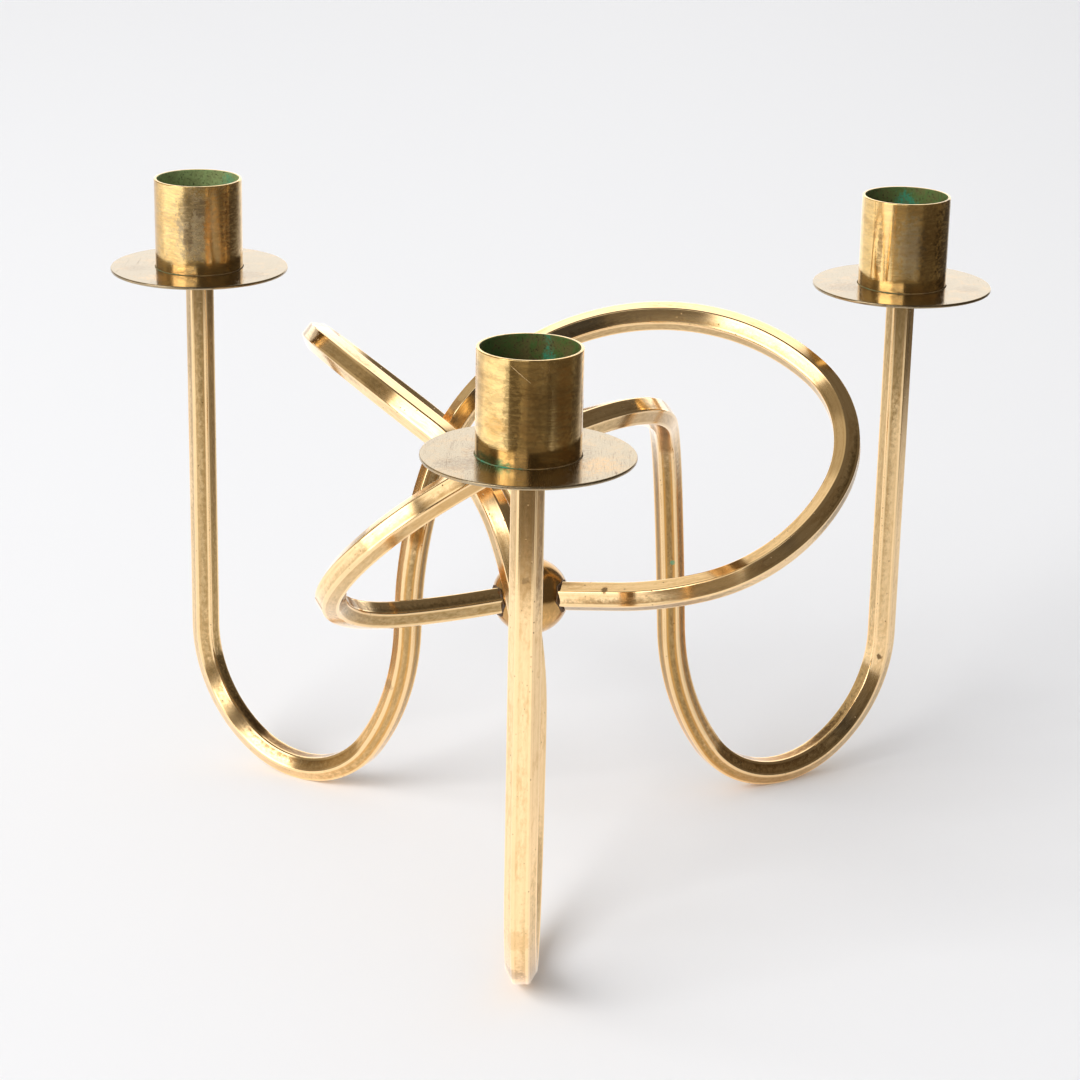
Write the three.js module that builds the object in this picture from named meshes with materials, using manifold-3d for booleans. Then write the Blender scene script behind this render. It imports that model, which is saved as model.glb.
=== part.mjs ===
// Three-arm candelabra: three bent hexagonal brass bars soldered into one ball, each bar
// carrying a drip pan and a candle cup that a screw holds down from inside the cup.
// Millimetres, +Z up. The origin is on the table, under the middle of the plan outline.

import * as THREE from 'three';
import { mergeVertices } from 'three/addons/utils/BufferGeometryUtils.js';
import Module from 'manifold-3d';

const wasm = await Module();
wasm.setup();

// Touching pieces keep this gap
const gap = 0.3;

// The bar: hexagonal, measured across its flats, bent in facets of about this angle
const acrossFlats = 7;
const facetAngle = 6;

// The circle through the cups' middles, and the ball's centre measured from that circle's
const cupCircleRadius = 114.2;
const ballDrop = 75.5;
const ballOffset = -2.1;

// The bends of a bar from the pan down, in the order a bender makes them. The stem's length follows from
// the foot depth, which reaches from the pan's upper face to the bar's middle line at its lowest point.
// The foot's own bend goes on past that point by the foot rise.
const pattern = {
  footDepth: 144,
  outerFootRadius: 39,
  outerFootAngle: 56.5,
  footRadius: 30,
  footRise: 54.5,
  innerFootRadius: 68.5,
  innerFootAngle: 33,
  innerLeg: 6,
  shoulderRoll: -120,
  lowerShoulderRadius: 127.5,
  lowerShoulderAngle: 19,
  upperShoulderRadius: 47,
  upperShoulderAngle: 40.5,
  loopRoll: -60,
  loopTopRadius: 62,
  loopTopAngle: 89,
  loopTipRadius: 34,
  loopTipAngle: 70,
  returnRoll: 14,
  returnRadius: 44,
  returnAngle: 58.5,
  tailRadius: 85,
};

// The arms by the bearing of each cup, in degrees. The bars are bent by hand to one pattern,
// so each one differs from it a little.
const arms = [
  {
    name: 'front',
    bearing: -90,
    handBent: {
      footRadius: -1,
      footRise: 1,
      innerFootRadius: -1,
      innerLeg: -3.5,
      shoulderRoll: 1,
      lowerShoulderAngle: 3,
      upperShoulderRadius: 0.5,
      loopRoll: -1,
      loopTopAngle: -1.5,
    },
  },
  {
    name: 'right',
    bearing: 30,
    handBent: {
      footDepth: -2.5,
      outerFootAngle: 0.5,
      footRise: -0.5,
      innerFootRadius: 2,
      innerLeg: 1,
      shoulderRoll: -3.5,
      lowerShoulderAngle: -3,
      upperShoulderRadius: -2,
      upperShoulderAngle: 2.5,
      loopRoll: 3,
      loopTopRadius: -0.5,
      loopTopAngle: 3.5,
      loopTipRadius: 1,
      loopTipAngle: 3.5,
      returnRadius: -1,
    },
  },
  {
    name: 'left',
    bearing: 150,
    handBent: {
      footDepth: 0.5,
      outerFootRadius: -0.5,
      footRadius: 0.5,
      innerFootRadius: -1,
      innerLeg: 2.5,
      upperShoulderRadius: 2,
      upperShoulderAngle: -2,
      loopRoll: 0.5,
      loopTopRadius: -1,
      loopTopAngle: -1,
      loopTipRadius: -1,
      loopTipAngle: -1.5,
      returnRadius: 1,
    },
  },
];

// Ball
const ballRadius = 10.5;
const seatRadius = 4.5;
const spigotRadius = 2.5;
const spigotLength = 6;

// Cups, pans and screws
const cupOuterRadius = 12.25;
const cupInnerRadius = 11.35;
const cupHeight = 25.2;
const cupFloor = 1;
const panRadius = 24.9;
const panThickness = 0.9;
const screwRadius = 2;
const screwLength = 12;
const headRadius = 3.75;
const headHeight = 2.4;
const slotWidth = 1.2;
const slotDepth = 1.1;
const edgeBreak = 0.2;

const roundSides = 48;
const smallSides = 24;
const ballRings = 24;

const holeRadius = screwRadius + gap;
const ballSeat = Math.sqrt(ballRadius ** 2 - seatRadius ** 2);
const ballCentre = new THREE.Vector3(ballOffset, 0, -ballDrop);
const upward = new THREE.Vector3(0, 0, 1);

function brass(name, color, roughness) {
  const material = new THREE.MeshStandardMaterial({ color, roughness, metalness: 1 });
  material.name = name;
  return material;
}

function mesh(name, geometry, material) {
  const piece = new THREE.Mesh(geometry, material);
  piece.name = name;
  return piece;
}

// A geometry as a solid, for joining and cutting
function toSolid(geometry) {
  const bare = geometry.clone();
  bare.deleteAttribute('normal');
  bare.deleteAttribute('uv');
  const merged = mergeVertices(bare, 1e-4);
  return new wasm.Manifold(new wasm.Mesh({
    numProp: 3,
    vertProperties: new Float32Array(merged.attributes.position.array),
    triVerts: new Uint32Array(merged.index.array),
  }));
}

// A solid back as a geometry
function toGeometry(solid) {
  const result = solid.getMesh();
  const geometry = new THREE.BufferGeometry();
  geometry.setAttribute('position', new THREE.BufferAttribute(result.vertProperties, 3));
  geometry.setIndex(new THREE.BufferAttribute(result.triVerts, 1));
  return geometry;
}

// A round rod from one point to another
function rod(from, to, radius, sides) {
  const length = from.distanceTo(to);
  const geometry = new THREE.CylinderGeometry(radius, radius, length, sides);
  const along = to.clone().sub(from).normalize();
  const turn = new THREE.Quaternion().setFromUnitVectors(new THREE.Vector3(0, 1, 0), along);
  geometry.applyQuaternion(turn);
  const middle = from.clone().add(to).multiplyScalar(0.5);
  geometry.translate(middle.x, middle.y, middle.z);
  return toSolid(geometry);
}

// A bar as a bender works it: run straight, roll about the bar's own length, bend towards "inward".
// Each station keeps the direction of one flat, carried along without twist.
class BarRun {
  constructor(point, along, inward) {
    this.point = point.clone();
    this.along = along.clone();
    this.inward = inward.clone();
    this.flat = inward.clone();
    this.stations = [];
    this.mark();
  }

  mark() {
    this.stations.push({
      point: this.point.clone(),
      along: this.along.clone(),
      flat: this.flat.clone(),
    });
  }

  straight(length) {
    this.point.addScaledVector(this.along, length);
    this.mark();
  }

  roll(degrees) {
    this.inward.applyAxisAngle(this.along, THREE.MathUtils.degToRad(degrees));
  }

  bend(radius, angle) {
    const facets = Math.ceil(angle / facetAngle);
    const step = THREE.MathUtils.degToRad(angle / facets);
    const axis = this.along.clone().cross(this.inward);
    const centre = this.point.clone().addScaledVector(this.inward, radius);
    for (let i = 0; i < facets; i++) {
      for (const direction of [this.along, this.inward, this.flat]) {
        direction.applyAxisAngle(axis, step);
      }
      this.point.copy(centre).addScaledVector(this.inward, -radius);
      this.mark();
    }
  }

  // The middle of the lowest facet
  lowest() {
    const [one, other] = [...this.stations].sort((a, b) => a.point.z - b.point.z);
    return one.point.clone().add(other.point).multiplyScalar(0.5);
  }

  // Bends towards a target until the bar points at it, and runs on to a distance short of it
  aimAt(target, radius, short) {
    const offset = target.clone().sub(this.point);
    const ahead = offset.dot(this.along);
    this.inward.copy(offset).addScaledVector(this.along, -ahead).normalize();
    const aside = offset.dot(this.inward);
    const toCentre = Math.hypot(ahead, aside - radius);
    const run = Math.sqrt(toCentre ** 2 - radius ** 2);
    const bearing = Math.atan2(aside - radius, ahead);
    const angle = THREE.MathUtils.radToDeg(bearing + Math.atan2(radius, run));
    this.bend(radius, angle);
    this.straight(run - short);
  }
}

// The run of one bar, in the frame of its arm: the cup out along +X, the ball near the axis
function armRun({ bearing, handBent }) {
  const bent = { ...pattern };
  for (const [name, extra] of Object.entries(handBent)) {
    bent[name] += extra;
  }
  const steepness = Math.sin(THREE.MathUtils.degToRad(bent.outerFootAngle));
  const stemEnd = bent.footDepth - bent.outerFootRadius * steepness - bent.footRadius * (1 - steepness);
  const top = new THREE.Vector3(cupCircleRadius, 0, -panThickness - gap);
  const run = new BarRun(top, new THREE.Vector3(0, 0, -1), new THREE.Vector3(-1, 0, 0));
  run.straight(stemEnd + top.z);
  run.bend(bent.outerFootRadius, bent.outerFootAngle);
  run.bend(bent.footRadius, 90 - bent.outerFootAngle - facetAngle / 2);
  run.bend(bent.footRadius, facetAngle);
  run.bend(bent.footRadius, bent.footRise - facetAngle / 2);
  run.bend(bent.innerFootRadius, bent.innerFootAngle);
  run.straight(bent.innerLeg);
  run.roll(bent.shoulderRoll);
  run.bend(bent.lowerShoulderRadius, bent.lowerShoulderAngle);
  run.bend(bent.upperShoulderRadius, bent.upperShoulderAngle);
  run.roll(bent.loopRoll);
  run.bend(bent.loopTopRadius, bent.loopTopAngle);
  run.bend(bent.loopTipRadius, bent.loopTipAngle);
  run.roll(bent.returnRoll);
  run.bend(bent.returnRadius, bent.returnAngle);
  const target = ballCentre.clone().applyAxisAngle(upward, -THREE.MathUtils.degToRad(bearing));
  run.aimAt(target, bent.tailRadius, ballSeat + gap);
  return run;
}

// The hexagonal bar through all its stations, closed at both ends
function barGeometry(stations) {
  const sides = 6;
  const cornerRadius = acrossFlats / Math.sqrt(3);
  const points = [];
  for (const { point, along, flat } of stations) {
    const across = along.clone().cross(flat);
    for (let k = 0; k < sides; k++) {
      const turn = ((k + 0.5) * 2 * Math.PI) / sides;
      const corner = point.clone();
      corner.addScaledVector(flat, cornerRadius * Math.cos(turn));
      corner.addScaledVector(across, cornerRadius * Math.sin(turn));
      points.push(...corner);
    }
  }
  const faces = [];
  for (let i = 0; i + 1 < stations.length; i++) {
    for (let k = 0; k < sides; k++) {
      const a = i * sides + k;
      const b = i * sides + ((k + 1) % sides);
      faces.push(a, b, b + sides, a, b + sides, a + sides);
    }
  }
  const last = (stations.length - 1) * sides;
  for (let k = 1; k + 1 < sides; k++) {
    faces.push(0, k + 1, k);
    faces.push(last, last + k, last + k + 1);
  }
  const geometry = new THREE.BufferGeometry();
  geometry.setAttribute('position', new THREE.Float32BufferAttribute(points, 3));
  geometry.setIndex(faces);
  return geometry;
}

// The bar, with the tapped hole for the cup screw and the turned spigot for the ball
function bar(run) {
  const first = run.stations[0];
  const last = run.stations[run.stations.length - 1];
  const above = first.point.clone().addScaledVector(first.along, -gap);
  const below = first.point.clone().addScaledVector(first.along, screwLength);
  const inside = last.point.clone().addScaledVector(last.along, -acrossFlats / 2);
  const tip = last.point.clone().addScaledVector(last.along, spigotLength);
  const hexagonal = toSolid(barGeometry(run.stations));
  const spigot = rod(inside, tip, spigotRadius, smallSides);
  const tapped = rod(above, below, holeRadius, smallSides);
  return toGeometry(hexagonal.add(spigot).subtract(tapped));
}

// A shape turned about the Z axis from a profile of [radius, height] points
function turned(profile, sides) {
  const points = profile.map(([radius, height]) => new THREE.Vector2(radius, height));
  const geometry = new THREE.LatheGeometry(points, sides);
  geometry.rotateX(Math.PI / 2);
  return geometry;
}

// A profile that closes on itself, for a piece with a hole through its middle
function closed(profile) {
  return [...profile, profile[0]];
}

// Drip pan: its upper face is at height zero
function panGeometry() {
  return turned(closed([
    [holeRadius, -panThickness],
    [panRadius - edgeBreak, -panThickness],
    [panRadius, -panThickness + edgeBreak],
    [panRadius, -edgeBreak],
    [panRadius - edgeBreak, 0],
    [holeRadius, 0],
  ]), roundSides);
}

// Candle cup, standing on the pan. The candle's flat seat on its floor starts clear of the screw head.
function cupGeometry() {
  const foot = gap;
  const rim = cupHeight;
  const seatStart = headRadius + gap;
  return turned(closed([
    [holeRadius, foot],
    [cupOuterRadius - edgeBreak, foot],
    [cupOuterRadius, foot + edgeBreak],
    [cupOuterRadius, rim - edgeBreak],
    [cupOuterRadius - edgeBreak, rim],
    [cupInnerRadius + edgeBreak, rim],
    [cupInnerRadius, rim - edgeBreak],
    [cupInnerRadius, foot + cupFloor],
    [seatStart, foot + cupFloor],
    [holeRadius, foot + cupFloor],
  ]), roundSides);
}

// Cup screw: a slotted cheese head on the cup floor, the shank down through cup, pan and bar end
function screwGeometry() {
  const seat = gap + cupFloor + gap;
  const top = seat + headHeight;
  const tip = seat - screwLength;
  const body = toSolid(turned([
    [0, tip],
    [screwRadius - edgeBreak, tip],
    [screwRadius, tip + edgeBreak],
    [screwRadius, seat],
    [headRadius, seat],
    [headRadius, top - edgeBreak],
    [headRadius - edgeBreak, top],
    [0, top],
  ], smallSides));
  const cutter = new THREE.BoxGeometry(2 * headRadius + gap, slotWidth, 2 * slotDepth);
  cutter.translate(0, 0, top);
  return toGeometry(body.subtract(toSolid(cutter)));
}

// The ball, spot-faced and drilled where each bar comes in
function ballGeometry(entries) {
  const sphere = new THREE.SphereGeometry(ballRadius, roundSides, ballRings);
  sphere.translate(...ballCentre);
  let ball = toSolid(sphere);
  for (const outward of entries) {
    const at = (distance) => ballCentre.clone().addScaledVector(outward, distance);
    const drilled = rod(at(ballSeat - spigotLength - gap), at(ballRadius), spigotRadius + gap, smallSides);
    const spotFace = rod(at(ballSeat), at(ballRadius + gap), seatRadius + gap, smallSides);
    ball = ball.subtract(drilled).subtract(spotFace);
  }
  return toGeometry(ball);
}

const panShape = panGeometry();
const cupShape = cupGeometry();
const screwShape = screwGeometry();
const entries = [];
const feet = [];
const assembly = new THREE.Group();
for (const hand of arms) {
  const run = armRun(hand);
  const turn = THREE.MathUtils.degToRad(hand.bearing);
  const arm = new THREE.Group();
  arm.rotation.z = turn;
  arm.add(mesh(`${hand.name}_bar`, bar(run), brass('bar', 0xb9964f, 0.25)));
  const top = new THREE.Group();
  top.position.x = cupCircleRadius;
  top.add(mesh(`${hand.name}_drip_pan`, panShape, brass('pan', 0xc4a873, 0.35)));
  top.add(mesh(`${hand.name}_candle_cup`, cupShape, brass('cup', 0xa8843f, 0.35)));
  top.add(mesh(`${hand.name}_cup_screw`, screwShape, brass('screw', 0x8c7a45, 0.45)));
  arm.add(top);
  assembly.add(arm);
  const end = run.stations[run.stations.length - 1].along;
  entries.push(end.clone().negate().applyAxisAngle(upward, turn));
  feet.push(run.lowest().applyAxisAngle(upward, turn));
}
assembly.add(mesh('centre_ball', ballGeometry(entries), brass('ball', 0x9a7436, 0.3)));

// One leg is short, so the candelabra leans until all three feet are down.
// Then the plan outline is centred on the origin.
const [first, second, third] = feet;
const lean = new THREE.Quaternion();
lean.setFromUnitVectors(second.sub(first).cross(third.sub(first)).normalize(), upward);
assembly.quaternion.copy(lean);
const bounds = new THREE.Box3().setFromObject(assembly, true);
const middle = bounds.getCenter(new THREE.Vector3());
assembly.position.set(-middle.x, -middle.y, -bounds.min.z);

const candelabra = new THREE.Group();
candelabra.add(assembly);

export default candelabra;
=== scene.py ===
"""Three-arm candelabra of bent hexagonal brass bar, dressed for a studio photograph.

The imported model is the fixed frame. Each bar is drawn, rolled and bent again here with rounded
ridges, the cups, pans and ball are turned, and old brass is made from node groups.
Metres, +Z up, in the frame's own place.
"""

import math

import bmesh
import bpy
from bpy.props import FloatProperty, FloatVectorProperty, IntProperty, PointerProperty
from mathutils import Matrix, Vector, noise


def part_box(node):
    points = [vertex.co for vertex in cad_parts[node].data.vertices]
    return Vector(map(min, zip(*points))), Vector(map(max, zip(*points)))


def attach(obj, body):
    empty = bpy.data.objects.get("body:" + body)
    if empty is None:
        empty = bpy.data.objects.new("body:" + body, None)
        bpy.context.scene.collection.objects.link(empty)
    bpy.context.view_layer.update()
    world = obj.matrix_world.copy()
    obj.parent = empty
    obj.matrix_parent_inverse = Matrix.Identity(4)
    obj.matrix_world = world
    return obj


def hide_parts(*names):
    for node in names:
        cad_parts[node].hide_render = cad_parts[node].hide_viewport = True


bl_info = {
    "name": "Three-Arm Brass Candelabra",
    "version": (1, 0, 0),
    "blender": (4, 5, 0),
    "location": "3D View > Sidebar > Candelabra",
    "description": "Builds the brass finish pieces of a three-arm candelabra and its studio",
    "category": "Object",
}

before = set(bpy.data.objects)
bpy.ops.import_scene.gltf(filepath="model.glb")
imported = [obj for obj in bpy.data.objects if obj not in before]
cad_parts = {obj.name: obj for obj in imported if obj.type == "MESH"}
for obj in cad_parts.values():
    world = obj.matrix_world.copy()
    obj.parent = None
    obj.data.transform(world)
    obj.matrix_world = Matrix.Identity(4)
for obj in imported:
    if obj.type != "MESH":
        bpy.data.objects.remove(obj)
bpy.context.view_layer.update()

BODY = "root"
MM = 0.001
ARMS = ("front", "right", "left")
BEARINGS = {"front": -90, "right": 30, "left": 150}

# The bends of a bar from the pan down, in the order a bender makes them, in millimetres and
# degrees: what all three bars share, and what the bender's hand changed on each arm in turn
BENDS = (
    ("foot_depth", 144, 0, -2.5, 0.5),
    ("outer_foot_radius", 39, 0, 0, -0.5),
    ("outer_foot_angle", 56.5, 0, 0.5, 0),
    ("foot_radius", 30, -1, 0, 0.5),
    ("foot_rise", 54.5, 1, -0.5, 0),
    ("inner_foot_radius", 68.5, -1, 2, -1),
    ("inner_foot_angle", 33, 0, 0, 0),
    ("inner_leg", 6, -3.5, 1, 2.5),
    ("shoulder_roll", -120, 1, -3.5, 0),
    ("lower_shoulder_radius", 127.5, 0, 0, 0),
    ("lower_shoulder_angle", 19, 3, -3, 0),
    ("upper_shoulder_radius", 47, 0.5, -2, 2),
    ("upper_shoulder_angle", 40.5, 0, 2.5, -2),
    ("loop_roll", -60, -1, 3, 0.5),
    ("loop_top_radius", 62, 0, -0.5, -1),
    ("loop_top_angle", 89, -1.5, 3.5, -1),
    ("loop_tip_radius", 34, 0, 1, -1),
    ("loop_tip_angle", 70, 0, 3.5, -1.5),
    ("return_roll", 14, 0, 0, 0),
    ("return_radius", 44, 0, -1, 1),
    ("return_angle", 58.5, 0, 0, 0),
    ("tail_radius", 85, 0, 0, 0),
)
STEM_RINGS = 12
BALL_RINGS = 48

# Shares of the ball's radius: where a bar's end lies, and how far before it the solder starts
BAR_END = 0.86
SOLDER_START = 0.115
# The solder is a little wider than the bar. Each further ring is widened, this many
# millimetres on
SOLDER_WIDTH = 1.015
SOLDER_RINGS = ((1.05, 0.12), (1.06, 0.15), (1.0, 0.6))

# The hair of air between a cup and its pan
CUP_GAP = 0.05 * MM
# The lumps of the seam round a cup's foot: how many to a metre, and their size as a share
SEAM_LUMPS = 1400
SEAM_LUMP_SIZE = 0.4


def box_centre(node):
    """The middle of a CAD node's box."""
    low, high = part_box(node)
    return (low + high) / 2


def mm(*lengths):
    """Millimetres as metres."""
    return tuple(length * MM for length in lengths)


def number(name, description, default, **how):
    """A number that the panel shows."""
    return FloatProperty(name=name, description=description, default=default, **how)


def length_setting(name, description, default):
    """A length in metres."""
    return number(name, description, default, min=0, unit="LENGTH", precision=5)


def shift_setting(name, description, default):
    """A length in metres that may go either way."""
    return number(name, description, default, unit="LENGTH", precision=5)


def angle_setting(name, description, degrees):
    """An angle, given in degrees."""
    return number(name, description, math.radians(degrees), subtype="ANGLE")


def share_setting(name, description, default):
    """A share from 0 to 1."""
    return number(name, description, default, min=0, max=1, subtype="FACTOR")


def colour_setting(name, description, colour):
    """A linear colour."""
    return FloatVectorProperty(
        name=name,
        description=description,
        default=(*colour, 1),
        size=4,
        subtype="COLOR",
        min=0,
        max=1,
    )


class CandelabraSizes(bpy.types.PropertyGroup):
    """Sizes of the drawn and turned pieces"""

    across_flats: length_setting("Across flats", "Width of the bar over two flats", 0.007)
    ridge_radius: length_setting("Ridge radius", "Rounding of the bar's six ridges", 0.00033)
    bend_step: angle_setting("Bend step", "Turn between two rings of a bend", 2)
    ball_radius: length_setting("Ball radius", "Ball that the bars run into", 0.0105)
    ball_drop: length_setting("Ball drop", "Depth of the ball's middle below the pans", 0.0755)
    ball_offset: shift_setting("Ball offset", "How far the ball sits to the side", -0.0021)
    cup_radius: length_setting("Cup radius", "Outside radius of a candle cup", 0.01225)
    cup_bore: length_setting("Cup bore", "Inside radius of a candle cup", 0.01135)
    cup_height: length_setting("Cup height", "Height of a cup above its pan", 0.0252)
    cup_floor: length_setting("Cup floor", "Thickness of a cup's floor", 0.001)
    pan_radius: length_setting("Pan radius", "Radius of a drip pan", 0.0249)
    pan_thickness: length_setting("Pan thickness", "Thickness of a drip pan", 0.0009)
    hole_radius: length_setting("Hole radius", "Hole for the cup screw", 0.0023)
    seam_width: length_setting("Seam width", "Old wax and dirt round a cup's foot", 0.00025)
    turned_sides: IntProperty(
        name="Turned sides", description="Steps round a turned piece", default=192, min=24
    )


class CandelabraFinish(bpy.types.PropertyGroup):
    """Colours and wear of the old brass"""

    bright: colour_setting("Bright brass", "Where hands keep it clean", (0.95, 0.68, 0.37))
    gold: colour_setting("Golden brass", "The cups' deeper colour", (0.96, 0.66, 0.27))
    worn: colour_setting("Worn brass", "The front pan's dull brass", (0.400, 0.322, 0.210))
    pale: colour_setting("Pale brass", "The back pans' pale brass", (0.345, 0.272, 0.172))
    warm: colour_setting("Warm brass", "Brass with a thin brown film", (0.62, 0.36, 0.13))
    olive: colour_setting("Dull brass", "Brass under an olive film", (0.27, 0.175, 0.065))
    orange: colour_setting("Orange film", "A film beside the ridges", (0.72, 0.34, 0.07))
    brown: colour_setting("Brown patina", "The darkest patina", (0.15, 0.08, 0.03))
    crust: colour_setting("Crust", "Old wax and dirt in the cups", (0.12, 0.09, 0.026))
    verdigris: colour_setting("Verdigris", "Dark green in the cups", (0.045, 0.100, 0.012))
    verdigris_thin: colour_setting("Thin verdigris", "Pale film in the cups", (0.33, 0.42, 0.17))
    verdigris_pale: colour_setting("Pale verdigris", "Powdery patches", (0.04, 0.33, 0.20))
    patina: share_setting("Patina", "How much of the brass has gone brown", 0.4)
    scratches: share_setting("Scratches", "How scratched the pans are", 0.5)
    polish: share_setting("Polish", "Roughness of clean brass", 0.09)


class CandelabraStudio(bpy.types.PropertyGroup):
    """Camera, paper and light"""

    paper: colour_setting("Paper", "Colour of the floor and backdrop", (0.86, 0.86, 0.87))
    room: colour_setting("Dark room", "What the brass mirrors by default", (0.150, 0.132, 0.105))
    lens: number("Lens", "Focal length on 36 mm", 100.1, unit="CAMERA")
    distance: length_setting("Camera distance", "Camera to the point it looks at", 0.8105)
    aim_right: shift_setting("Aim to the right", "Middle of the picture, sideways", 0.000199)
    aim_drop: length_setting("Aim below the pans", "Middle of the picture, down", 0.059527)
    azimuth: angle_setting("Azimuth", "Camera's turn to the right", 1.421)
    elevation: angle_setting("Elevation", "Camera's angle down", 18.775)
    roll: angle_setting("Roll", "Camera's roll against the leaning piece", 1.122)
    ambient: number("Soft light", "Brightness of the light from all round", 0.58, min=0)
    key: number("Key light", "Strength of the broad light from the left", 2.0, min=0)
    sheen: number("Paper sheen", "Extra light that the brass mirrors of the paper", 0.33, min=0)
    side: number("Side light", "Power of the lamp at the left", 9, min=0, unit="POWER")


def stand_frame(sizes):
    """The candelabra's own frame: its middle at the height of the pans, on its leaning axis."""
    front, right, left = (box_centre(f"{arm}_drip_pan") for arm in ARMS)
    up = (right - front).cross(left - front).normalized()
    middle = (front + right + left) / 3 + up * sizes.pan_thickness / 2
    lean = Vector((0, 0, 1)).rotation_difference(up).to_matrix().to_4x4()
    return Matrix.Translation(middle) @ lean


def arm_frame(sizes, arm):
    """The frame of one arm, with its cup out along +X."""
    return stand_frame(sizes) @ Matrix.Rotation(math.radians(BEARINGS[arm]), 4, "Z")


def cup_frame(sizes, arm):
    """The frame of one cup and pan, upright on the pan's upper face."""
    stand = stand_frame(sizes)
    up = (stand.to_3x3() @ Vector((0, 0, 1))).normalized()
    centre = box_centre(f"{arm}_drip_pan")
    height = (stand.inverted() @ centre).z
    return Matrix.Translation(centre - up * height) @ stand.to_3x3().to_4x4()


def linked(name, data):
    """An object in the scene."""
    made = bpy.data.objects.new(name, data)
    bpy.context.scene.collection.objects.link(made)
    return made


def solid(name, mesh, material):
    """A bmesh, used up, as an object of one material."""
    data = bpy.data.meshes.new(name)
    mesh.to_mesh(data)
    mesh.free()
    data.materials.append(material)
    return linked(name, data)


def finished(name, mesh, material, replaced=None):
    """Closes a bmesh as a piece of the object that rides on the body."""
    piece = solid(name, mesh, material)
    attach(piece, BODY)
    if replaced:
        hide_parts(replaced)
    return piece


def even_shading(piece):
    """Flat where the piece is flat and round on its narrow roundings."""
    steady = piece.modifiers.new("even shading", "WEIGHTED_NORMAL")
    steady.mode = "FACE_AREA"
    steady.weight = 50
    steady.keep_sharp = True


# Drawn bars


class BarRun:
    """A bar in the making: a ring of edges that is drawn on, rolled and bent like the real bar."""

    def __init__(self, mesh, ring, point, along, inward, step):
        self.mesh = mesh
        self.ring = ring
        self.point = point.copy()
        self.along = along.copy()
        self.inward = inward.copy()
        self.step = step
        self.drawn = 0.0
        self.place = mesh.verts.layers.float_vector["bar_place"]

    def draw(self, length, **how):
        made = bmesh.ops.spin(self.mesh, geom=self.ring, steps=1, **how)
        self.ring = made["geom_last"]
        self.drawn += length
        for corner in self.ring:
            if isinstance(corner, bmesh.types.BMVert):
                across = corner[self.place]
                corner[self.place] = (across.x, across.y, self.drawn)

    def straight(self, length):
        self.draw(length, cent=self.point, axis=self.along, dvec=self.along * length, angle=0)
        self.point += self.along * length

    def roll(self, angle):
        self.inward.rotate(Matrix.Rotation(angle, 3, self.along))

    def bend(self, radius, angle):
        axis = self.along.cross(self.inward).normalized()
        centre = self.point + self.inward * radius
        steps = math.ceil(angle / self.step)
        turn = angle / steps
        for _ in range(steps):
            self.draw(radius * turn, cent=centre, axis=axis, angle=turn)
        turned_by = Matrix.Rotation(angle, 3, axis)
        self.along.rotate(turned_by)
        self.inward.rotate(turned_by)
        self.point = centre - self.inward * radius

    def follow(self, bends, *parts):
        """Bends by the radius and angle of each part in turn."""
        for part in parts:
            self.bend(bends[f"{part}_radius"], bends[f"{part}_angle"])

    def aim_at(self, target, radius, short):
        """Bends until the bar points at the target, and runs on to a distance short of it."""
        offset = target - self.point
        ahead = offset.dot(self.along)
        self.inward = (offset - self.along * ahead).normalized()
        aside = offset.dot(self.inward)
        run = math.sqrt(ahead**2 + (aside - radius) ** 2 - radius**2)
        self.bend(radius, math.atan2(aside - radius, ahead) + math.atan2(radius, run))
        self.straight(run - short)


def section_ring(mesh, sizes, point, along, flat):
    """The ring of edges across a bar: a hexagon with its six ridges rounded."""
    corner = sizes.across_flats / math.sqrt(3)
    bmesh.ops.create_circle(mesh, cap_ends=True, segments=6, radius=corner)
    bmesh.ops.bevel(
        mesh,
        geom=mesh.verts[:],
        offset=sizes.ridge_radius,
        segments=3,
        profile=0.5,
        affect="VERTICES",
        material=-1,
    )
    bmesh.ops.delete(mesh, geom=mesh.faces[:], context="FACES_ONLY")
    place = mesh.verts.layers.float_vector.new("bar_place")
    for vert in mesh.verts:
        vert[place] = vert.co
    across = along.cross(flat)
    turned_to = Matrix((flat, across, along)).transposed().to_4x4()
    mesh.transform(Matrix.Translation(point) @ turned_to)
    return mesh.verts[:] + mesh.edges[:]


def bends_of(arm):
    """The bends of one arm's bar, in metres and radians."""
    bends = {}
    for name, shared, *by_hand in BENDS:
        value = shared + by_hand[ARMS.index(arm)]
        is_length = name.endswith(("radius", "depth", "leg"))
        bends[name] = value * MM if is_length else math.radians(value)
    bends["foot_angle"] = math.pi / 2 - bends["outer_foot_angle"] + bends["foot_rise"]
    return bends


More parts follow.
